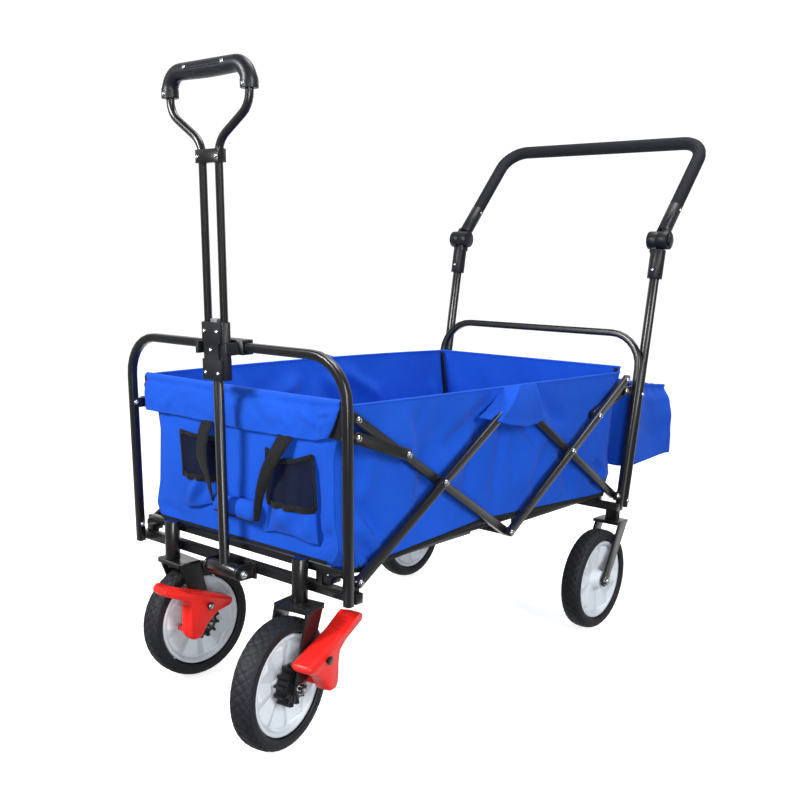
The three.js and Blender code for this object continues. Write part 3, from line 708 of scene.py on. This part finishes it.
def soft_goods_front():
    foot = [at(-194 + 388 * t, -409.5, 277.5) for t in np.linspace(0, 1, 40)]
    foot_tape = edge_tape("front_foot_tape", foot, (0, -1, 0), 5, "front_frame")
    wall = cloth_sheet("front_wall", end_wall(-407.0, -1, 516, FRONT_FOLDS, 21.0), cloth,
                       "front_frame")
    gores = [gusset("gore_left", [(-236, 516), (-226, 519), (-229, 462), (-214, 460)]),
             gusset("gore_right", [(206, 519), (232, 516), (186, 466), (222, 464)])]
    band = cloth_sheet("front_band", front_band(), cloth, "front_frame", 1.6)
    for made in (wall, band):
        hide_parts("tub_front")
    pocket("pocket_left", [(-140, 436), (-92, 433), (-43, 434)], [(-132, 367), (-92, 366), (-48, 368)],
           [(-139, 313), (-118, 310), (-92, 315), (-52, 329)], 0.4)
    pocket("pocket_right", [(66, 434), (96, 420), (128, 424), (162, 436)],
           [(70, 353), (118, 353), (169, 354)],
           [(62, 301), (90, 309), (128, 309), (160, 304), (176, 304)], 2.1)
    carry_roll()
    strap("strap_left",
          [(-65, -414, 463), (-65, -426, 436), (-60, -432, 403), (-46, -432, 370), (-39, -429, 337)],
          [26, 27, 29, 22, 12], [0, 4, 8, 18, 34], "front_frame")
    strap("strap_right",
          [(115, -414, 463), (103, -425, 435), (88, -431, 404), (73, -432, 362), (63, -428, 322)],
          [31, 27, 22, 14, 9], [0, -4, -10, -26, -46], "front_frame")


# ---- rear bag
def rounded_square(t, half_x, y0, y1, radius):
    """Point at share t round a rectangle with round corners."""
    corners = [(half_x, y1, 0), (-half_x, y1, 90), (-half_x, y0, 180), (half_x, y0, 270)]
    points = []
    for cx, cy, start in corners:
        ox, oy = cx - math.copysign(radius, cx), cy - (radius if cy == y1 else -radius)
        for k in range(7):
            a = math.radians(start + k * 15)
            points.append((ox + radius * math.cos(a), oy + radius * math.sin(a)))
    points.append(points[0])
    points = np.array(points)
    run = np.concatenate([[0], np.cumsum(np.linalg.norm(np.diff(points, axis=0), axis=1))])
    s = t * run[-1]
    return np.interp(s, run, points[:, 0]), np.interp(s, run, points[:, 1])


def rear_bag():
    """Open bag: a wall that hangs from its gathered rim, over a sagging bottom with full corners."""
    middle = 549.0

    def rim_height(x, y):
        wavy = float(smoothstep((y - 450) / 150))
        return 482 - 19 * (y - 440) / 220 + 4 * math.sin(x * 0.02 + 1) * wavy

    count = 190

    def point(u, v):
        x, y = rounded_square(u, 222, 442, 657, 20)
        out = np.array([x, y - middle]) / math.hypot(x, y - middle)
        high = rim_height(x, y)
        low = 312 + 7 * (y - 440) / 220 + 4 * math.sin(x * 0.018)
        hangs = float(smoothstep((y - 440) / 40))
        if v < 0.78:
            t = v / 0.78
            gather = 2.4 * math.sin(u * 190) * math.exp(-((t / 0.1) ** 2))
            swell = 4.0 * math.sin(u * 44 + 2.2 * t) * math.sin(math.pi * t) + 2.6 * math.sin(u * 23 + 1) * t
            crumple = ruffle(x + y, t * 170, 61.0, 0.022, 4.0) * math.sin(math.pi * t)
            pull = -10.0 * (1 - float(smoothstep(t / 0.22))) + 10 * t
            away = (pull + swell + gather + crumple) * hangs + min(0.0, pull) * 0.3
            return x + out[0] * away, y + out[1] * away, high - (high - low) * t
        t = (v - 0.78) / 0.22
        keep = 1 - t
        away = 10 * hangs + 2.6 * math.sin(u * 23 + 1) * hangs
        edge = np.array([x + out[0] * away, y + out[1] * away - middle])
        return edge[0] * keep, middle + edge[1] * keep, low - 5 * math.sin(math.pi * t / 2)
    grid = surface(count, 60, lambda u, v: point(u * (count - 1) / count, v))
    rim = [Vector(p) for p in grid[:, 0]] + [Vector(grid[0, 0])]
    verts, faces = sweep(rim, lambda t: ring((2.8 + 0.8 * math.sin(t * 420)) * MM, 8), capped=False)
    edge = piece("bag_rim", verts, faces, cloth)
    fit(edge, "rear_frame")
    bag = cloth_sheet("bag", grid, cloth, "rear_frame", 1.2, closed=True)
    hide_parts("rear_bag")
    for label, side in SIDES:
        strap(f"bag_strap_{label}", [(side * 216, 446, 474), (side * 222, 430, 474), (side * 226, 411, 474)],
              [22, 22, 22], [0, side * 40, side * 80], "rear_frame", 14)


def soft_goods_rear():
    grid = end_wall(404.6, 1, 517.5, REAR_FOLDS, 33.0)
    trims = [rolled_hem("rear_hem", grid[:, -1], 2.4, "rear_frame")]
    for label, side in SIDES:
        corner = [at(side * (218 - waist(z, REAR_Y)), 399.5, z) for z in np.linspace(280, 516, 30)]
        trims.append(side_tape(f"corner_tape_{label}", corner, "rear_frame", 8))
    wall = cloth_sheet("rear_wall", grid, cloth, "rear_frame")
    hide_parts("tub_rear")
    rear_bag()


def rolled_hem(name, line, radius, body):
    """Hem rolled round a cord, along a row of points."""
    verts, faces = sweep([Vector(p) for p in line], lambda t: ring(radius * MM, 8))
    return fit(piece(name, verts, faces, cloth), body)


def soft_goods_sides():
    for label, side in SIDES:
        grid = side_wall(side, 3.0 + side)
        foot = [p + np.array([side * 0.4, 0, -2]) * MM for p in grid[4:-4, 0]]
        trims = [
            rolled_hem(f"side_hem_{label}", grid[:, -1], 2.2, "front_frame"),
            edge_tape(f"foot_tape_{label}", foot, (side, 0, 0), 8, "front_frame"),
        ]
        wall = cloth_sheet(f"side_wall_{label}", grid, cloth,
                           "front_frame")
        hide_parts(f"tub_{label}")
        for made in [wall, flap(label, side, 1.0 + side)] + trims:
            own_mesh(made)


def floor_pads():
    """Padded boards that lie on the folding floor, with a sewn channel round each."""
    for name, low, high in (("front", -374, -52), ("rear", 54, 370)):
        nx, ny = 60, 44
        verts = []
        for j in range(ny):
            for i in range(nx):
                x, y = -212 + 424 * i / (nx - 1), low + (high - low) * j / (ny - 1)
                rim = min(i, nx - 1 - i, j, ny - 1 - j)
                puff = 4.2 * float(smoothstep(rim / 3.0))
                if 6 <= rim <= 7:
                    puff -= 1.6
                verts.append(at(x, y, 277.6 + puff + ruffle(x, y, 50.0, 0.03, 0.5)))
        faces = [(j * nx + i, j * nx + i + 1, (j + 1) * nx + i + 1, (j + 1) * nx + i)
                 for j in range(ny - 1) for i in range(nx - 1)]
        uvs = [(v.x, v.y) for v in verts]
        pad = piece(f"floor_pad_{name}", verts, faces, cloth, uvs)
        solid = pad.modifiers.new("thickness", "SOLIDIFY")
        solid.thickness, solid.offset = 0.5 * MM, -1
        fit(pad, f"floor_{name}_half")


# ---- wheels
WHEEL_R = 100.0
TREAD_BLOCKS = 40
BLADES = 9
FRONT_WHEELS = (("left", -147.87, -376.11, -3.9), ("right", 158.04, -467.46, 8.8))  # side, X, Y, turn
REAR_WHEEL_X, REAR_WHEEL_Y = 240, 322


SIDEWALL_RIBS = ((1.06, 0.035), (1.2, 0.03))  # middle and width, as shares of the way down the wall


def tyre_grid():
    """Round-shouldered tyre about the X axis, with crossed grooves that leave diamond blocks."""
    spin = np.arange(320) * 2 * math.pi / 320
    around = np.radians(np.linspace(-36, 216, 52))
    grid = np.zeros((len(spin), len(around), 3))
    for j, a in enumerate(around):
        s, c = math.sin(a), math.cos(a)
        r = 88 + 12 * math.copysign(abs(s) ** 0.62, s)
        x = 19 * math.copysign(abs(c) ** 0.8, c)
        w = (math.degrees(a) - 90) / 90
        fade = float(smoothstep((0.86 - abs(w)) / 0.1))
        for i, t in enumerate(spin):
            turns = t * TREAD_BLOCKS / (2 * math.pi)
            nearest = min(abs((turns + k * 1.9 * w + 0.5) % 1 - 0.5) for k in (-1, 1))
            groove = 1.5 * fade * (1 - float(smoothstep((nearest - 0.04) / 0.09)))
            rib = 0.5 * sum(math.exp(-(((abs(w) - middle) / width) ** 2)) for middle, width in SIDEWALL_RIBS)
            radius = (r - groove) * MM
            grid[i, j] = ((x + math.copysign(rib, x)) * MM, radius * math.cos(t), radius * math.sin(t))
    return grid


def rim_grid():
    """Turbine rim about the X axis: skewed blades between hub and ring, the same on both faces."""
    spin = np.arange(270) * 2 * math.pi / 270
    half = [(5.6, 19), (16, 19), (17, 17.5), (18.5, 8), (21, 5.4)]
    half += [(r, 5.4) for r in np.linspace(24, 68, 14)]
    half += [(70, 9), (71.2, 14), (73, 15), (76.8, 15), (77.6, 13.5)]
    profile = [(r, x) for r, x in half] + [(r, -x) for r, x in reversed(half)]
    grid = np.zeros((len(spin), len(profile) + 1, 3))
    for j, (r, x) in enumerate(profile + profile[:1]):
        blade = 21 < r < 69
        rise = smoothstep((r - 22) / 14) * smoothstep((69 - r) / 4)
        for i, t in enumerate(spin):
            depth = x
            if blade:
                share = (t * BLADES / (2 * math.pi)) % 1
                facet = share / 0.56 if share < 0.56 else (1 - share) / 0.44
                depth = math.copysign(3.2 + 10.5 * facet * rise * r / 69 + (r - 20) * 0.03, x)
            grid[i, j] = (depth * MM, r * MM * math.cos(t), r * MM * math.sin(t))
    return grid


def gear(name, place):
    """Black brake ring: twelve teeth round a hub with ribs in its face."""
    bm = bmesh.new()
    teeth = 12

    def prism(outline, x0, x1):
        low = [bm.verts.new((x0 * MM, y * MM, z * MM)) for y, z in outline]
        high = [bm.verts.new((x1 * MM, y * MM, z * MM)) for y, z in outline]
        bm.faces.new(low[::-1])
        bm.faces.new(high)
        for k in range(len(outline)):
            n = (k + 1) % len(outline)
            bm.faces.new((low[k], low[n], high[n], high[k]))

    outline = []
    for k in range(teeth):
        for share, r in ((-0.24, 24), (-0.13, 30.8), (0.13, 30.8), (0.24, 24)):
            a = (k + 0.5 + share) * 2 * math.pi / teeth
            outline.append((r * math.cos(a), r * math.sin(a)))
    prism(outline, 9, 25)
    prism(ring(22.5, 32), 8.5, 27.5)
    prism(ring(12.5, 24), 8.5, 30)
    for k in range(teeth):
        a = (k + 0.5) * 2 * math.pi / teeth
        c, s = math.cos(a), math.sin(a)
        bar = [(12 * c - 1.3 * s, 12 * s + 1.3 * c), (12 * c + 1.3 * s, 12 * s - 1.3 * c),
               (29 * c + 1.3 * s, 29 * s - 1.3 * c), (29 * c - 1.3 * s, 29 * s + 1.3 * c)]
        prism(bar[::-1], 24, 28.6)
    mesh = bpy.data.meshes.new(name)
    write_mesh(bm, mesh)
    made = link_object(name, mesh)
    mesh.materials.append(mould)
    smooth_faces(mesh)
    soften(made, 0.5)
    made.matrix_world = place
    return made


def wheels():
    tread, turbine = tyre_grid(), rim_grid()
    places = [(f"front_{name}", x, y, turn) for name, x, y, turn in FRONT_WHEELS]
    places += [(f"rear_{name}", side * REAR_WHEEL_X, REAR_WHEEL_Y, 0) for name, side in SIDES]
    for name, x, y, turn in places:
        place = Matrix.Translation(at(x, y, WHEEL_R)) @ Matrix.Rotation(math.radians(turn), 4, "Z")
        tyre = grid_piece(f"tread_{name}", tread, rubber, closed=True)
        rim = grid_piece(f"turbine_{name}", turbine, rim_plastic, closed=True)
        tyre.matrix_world = rim.matrix_world = place
        fit(tyre, f"wheel_{name}", f"tyre_{name}")
        fit(rim, f"wheel_{name}", f"rim_{name}")
        if name.startswith("front"):
            fit(gear(f"brake_ring_{name}", place), f"wheel_{name}")


def rounded(points, times=2):
    """Closed outline with its corners cut off, again and again."""
    for _ in range(times):
        points = [tuple(a * (1 - share) + b * share for a, b in zip(p, q))
                  for p, q in zip(points, points[1:] + points[:1]) for share in (0.13, 0.87)]
    return points


def brake_lever(name, trail, place):
    """Moulded lever: broad pad on top, narrower leg with a blunt toe, edges rounded all round."""
    outline = rounded([(-65, 193), (4, 172), (71, 150), (73, 144), (69, 137), (46, 128), (26, 112), (13, 92),
                       (8, 89), (-5, 89), (-11, 96), (-13, 112), (-12, 150), (-18, 160), (-63, 179),
                       (-67, 184)])
    layers = [(0.0, 3.6), (0.03, 1.9), (0.09, 0.6), (0.18, 0.0), (0.5, -0.4), (0.82, 0.0), (0.91, 0.6),
              (0.97, 1.9), (1.0, 3.6)]
    count = len(outline)
    verts = []
    for share, inset in layers:
        for k, (u, w) in enumerate(outline):
            before, after = outline[k - 1], outline[(k + 1) % count]
            along = np.array(after) - np.array(before)
            inwards = np.array([along[1], -along[0]]) / np.linalg.norm(along)
            if k in (0, count - 1):  # a low lip stands up at the end of the pad
                inwards = -inwards
            pu, pw = u + inwards[0] * inset, w + inwards[1] * inset
            slim = float(smoothstep((154.5 - 0.31 * u - w) / 14))
            x0, x1 = 36.9 + 2.0 * slim, 71.4 - 6.0 * slim
            verts.append(Vector(((x0 + (x1 - x0) * share) * MM, trail * pu * MM, pw * MM)))
    lever = piece(f"lever_{name}", verts, tube_faces(len(layers), count), red_plastic)
    bm = bmesh.new()
    bm.from_mesh(lever.data)
    bar = ((-6, 96.5), (12.8, 96.5), (12.8, 103), (-6, 103))
    pawl = [[bm.verts.new(Vector((x, trail * u, w)) * MM) for u, w in bar] for x in (19.8, 38.2)]
    bm.faces.new(pawl[0])
    bm.faces.new(pawl[1])
    for k in range(4):
        n = (k + 1) % 4
        bm.faces.new((pawl[0][k], pawl[0][n], pawl[1][n], pawl[1][k]))
    write_mesh(bm, lever.data)
    soften(lever, 0.5, 40)
    lever.matrix_world = place
    fit(lever, f"brake_{name}", f"pedal_{name}")
    for row in range(7):
        u = -50 + 9.5 * row
        w = 193.0 - 21.3 / 69 * (u + 65)
        ridge = [place @ (Vector((x, trail * u, w)) * MM) for x in np.linspace(44, 64, 8)]
        rib = tube(f"lever_rib_{row}_{name}", ridge, 0.7 * MM, red_plastic, f"brake_{name}", 8)


def brakes():
    for name, x, trail, turn in (("left", -151, 1, -3.9), ("right", 151, -1, 8.8)):
        place = Matrix.Translation(at(x, -422, 0)) @ Matrix.Rotation(math.radians(turn), 4, "Z")
        brake_lever(name, trail, place)
        if name == "left":
            head = place @ (Vector((74.0, trail * 24, 145)) * MM)
            dome("lever_pin", head, place.to_3x3() @ Vector((1, 0, 0)), 4.6, "caster_left", 0.4)


# ---- bolts and nuts
def lathe(name, profile, place, body, sides=20):
    """Solid of revolution about the local X axis; profile is (radius, x) in millimetres, end to end."""
    verts = []
    for r, x in profile:
        verts += [(x * MM, r * MM * math.cos(a), r * MM * math.sin(a))
                  for a in np.arange(sides) * 2 * math.pi / sides]
    made = piece(name, verts, tube_faces(len(profile), sides), zinc)
    made.matrix_world = place
    soften(made, 0.2, 50)
    return fit(made, body)


def facing(point, direction):
    """Local X turned towards direction, at point."""
    turn = Vector((1, 0, 0)).rotation_difference(Vector(direction)).to_matrix().to_4x4()
    return Matrix.Translation(point) @ turn


def dome(name, point, direction, radius, body, height=0.62):
    """Round-headed bolt with a shallow drive recess; height is a share of its radius."""
    r, h = radius, radius * height
    profile = [(r * 1.02, -0.6), (r * 1.02, 0.2), (r, 0.35), (r * 0.88, h * 0.62), (r * 0.62, h * 0.93),
               (r * 0.36, h), (r * 0.3, h * 0.98), (r * 0.26, h * 0.5)]
    return lathe(name, profile, facing(point, direction), body)


def nut(name, point, direction, radius, body, thick):
    """Hexagon nut on its washer, with the bolt's end standing out of it."""
    profile = [(radius * 1.12, -0.4), (radius * 1.12, 1.0), (radius * 0.5, 1.05)]
    lathe(name + "_washer", profile, facing(point, direction), body, 28)
    hexagon = [(radius, 0.9), (radius, thick - 1), (radius * 0.9, thick), (radius * 0.42, thick),
               (radius * 0.42, thick + 1.6), (radius * 0.3, thick + 1.9)]
    return lathe(name, hexagon, facing(point, direction), body, 6)


def bolts():
    outer, inner = 247.8, 237.2  # X of the outer faces of the two layers of scissor bars
    for name, side in SIDES:
        x = (side, 0, 0)
        heads = [
            ("p1", outer, -394.3, 258.0, "bars_b"), ("cross_front", outer, -197.1, 376.5, "bars_b"),
            ("mid_low", outer, 0.0, 258.0, "bars_c"), ("cross_rear", outer, 197.1, 376.5, "bars_c"),
            ("rear_link", outer, 291.8, 433.3, "bars_c"), ("top_rear", outer, 394.3, 494.9, "bars_c"),
            ("top_front", inner, -394.3, 494.9, "bars_a"), ("link_post", outer, -405.5, 471.5, "front_links"),
            ("link_bar", outer, -291.8, 433.3, "front_links"),
        ]
        for label, layer, y, z, body in heads:
            dome(f"bolt_{label}_{name}", at(side * (layer + 0.2), y, z), x, 5.0, body, 0.7)
        dome(f"bolt_rear_post_{name}", at(side * 241.6, 405.5, 471.5), x, 5.0, "rear_frame", 0.7)
        dome(f"bolt_rear_foot_{name}", at(side * 245.2, 394.3, 258.0), x, 5.4, "rear_frame", 0.7)
        lean = math.tan(math.radians(2))
        for label, z in (("high", 471.5), ("low", 258.0)):
            y = -417 - (z - 228) * lean
            dome(f"bolt_post_{label}_{name}", at(side * 238.0, y, z), (-side, 0, 0), 4.2, "front_frame")
        back = math.tan(math.radians(8))
        for label, z in (("high", 462.0), ("low", 246.0)):
            y = 417.3 + (z - 228) * back
            dome(f"bolt_leg_{label}_{name}", at(side * 254.6, y, z), x, 3.8, "rear_frame")
        for end, way, thick in (("out", side, 6.5), ("in", -side, 5.0)):
            place = at(side * REAR_WHEEL_X + way * 27.5, REAR_WHEEL_Y, WHEEL_R)
            nut(f"axle_rear_{end}_{name}", place, (way, 0, 0), 7.6, "rear_frame", thick)
        dome(f"pivot_bolt_{name}", at(side * 43.8, -437.5, 235), (side, 0, 0), 6.2, "front_frame")
    for name, x, y, turn in FRONT_WHEELS:
        a = math.radians(turn)
        along = Vector((math.cos(a), math.sin(a), 0))
        hub = at(x, y, WHEEL_R)
        nut(f"axle_front_out_{name}", hub + along * 35.9 * MM, along, 7.8, f"caster_{name}", 6.0)
        nut(f"axle_front_in_{name}", hub - along * 25.7 * MM, -along, 7.8, f"caster_{name}", 5.0)


def on_handle(x, y, z):
    """Point of the pull handle in its own millimetres, from a datum on its tube 15 mm above the pivot."""
    c, s = math.cos(math.radians(2)), math.sin(math.radians(2))
    return at(x, -438 + y * c - z * s, 250 + z * c + y * s)


def handle_screws():
    for k, (x, z, y, body) in enumerate([
            (-14, 296, -12.4, "handle_lower"), (14, 296, -12.4, "handle_lower"),
            (-2, 330, -11.6, "handle_lower"),
            (-14, 358, -12.4, "handle_lower"), (14, 358, -12.4, "handle_lower"),
            (-21, 607, -8.3, "handle_upper"), (21, 607, -8.3, "handle_upper"),
            (-38, 730, -12.2, "handle_upper"), (44, 730, -12.2, "handle_upper"),
            (-86, 698, -12.6, "handle_upper"), (86, 698, -12.6, "handle_upper")]):
        dome(f"handle_screw_{k}", on_handle(x, y, z), (0, -1, 0), 2.9, body)


def handle_grip():
    """Moulded grip: a cuff at each end, fuller in the middle, with a ribbed band along its front."""
    path = [(86, 692), (86, 696)]
    path += [(59 + 27 * math.cos(a), 700 + 27 * math.sin(a)) for a in np.radians(range(0, 91, 9))]
    path += [(x, 727) for x in np.linspace(52, 0, 9)]
    path += [(-x, z) for x, z in reversed(path[:-1])]
    points = [on_handle(x, 0, z) for x, z in path]

    def section(t):
        middle = math.exp(-(((t - 0.5) / 0.17) ** 2))
        cuff = 1.0 + 0.09 * smoothstep((abs(t - 0.5) - 0.40) / 0.04)
        shape = []
        for a in np.arange(28) * 2 * math.pi / 28:
            fuller = 1 + 0.14 * middle * max(0.0, -math.cos(a + math.radians(45)))
            r = 11.9 * cuff * MM * fuller
            shape.append((r * math.cos(a), r * math.sin(a)))
        return shape
    verts, faces = sweep(points, section)
    made = piece("moulded_grip", verts, faces, grip_plastic)
    soften(made, 0.8)
    fit(made, "handle_upper", "grip")
    for row, z in enumerate((721.0, 724.5, 728.0, 731.5)):
        front = -math.sqrt(12.1 ** 2 - (z - 727) ** 2)
        ridge = [on_handle(x, front, z) for x in np.linspace(-40, 38, 24)]
        rib = tube(f"grip_rib_{row}", ridge, 0.75 * MM, mould, "handle_upper", 6)


def push_handle_trim():
    """Rivets through the knuckle sleeves just below the foam, and the screws of the sockets."""
    swing, back = math.radians(41.5), math.radians(8)
    knuckle_y, knuckle_z = 417.3 + (768 - 228) * math.tan(back), 768
    rivet, screw, sleeve = 82, 60, 14  # along the knuckle and the socket, and half the sleeve's width
    for name, side in SIDES:
        for label, way in (("out", side), ("in", -side)):
            place = at(side * 245 + way * sleeve, knuckle_y + rivet * math.sin(swing),
                       knuckle_z + rivet * math.cos(swing))
            dome(f"knuckle_rivet_{label}_{name}", place, (way, 0, 0), 2.8, "push_handle")
        place = at(side * 245, knuckle_y - screw * math.sin(back) - 15 * math.cos(back),
                   knuckle_z - screw * math.cos(back) + 15 * math.sin(back))
        dome(f"socket_screw_{name}", place, (0, -math.cos(back), math.sin(back)), 2.8, "rear_frame")


make_camera()
make_studio()
dress_cad()
soft_goods_front()
soft_goods_sides()
soft_goods_rear()
floor_pads()
wheels()
brakes()
bolts()
handle_grip()
handle_screws()
push_handle_trim()
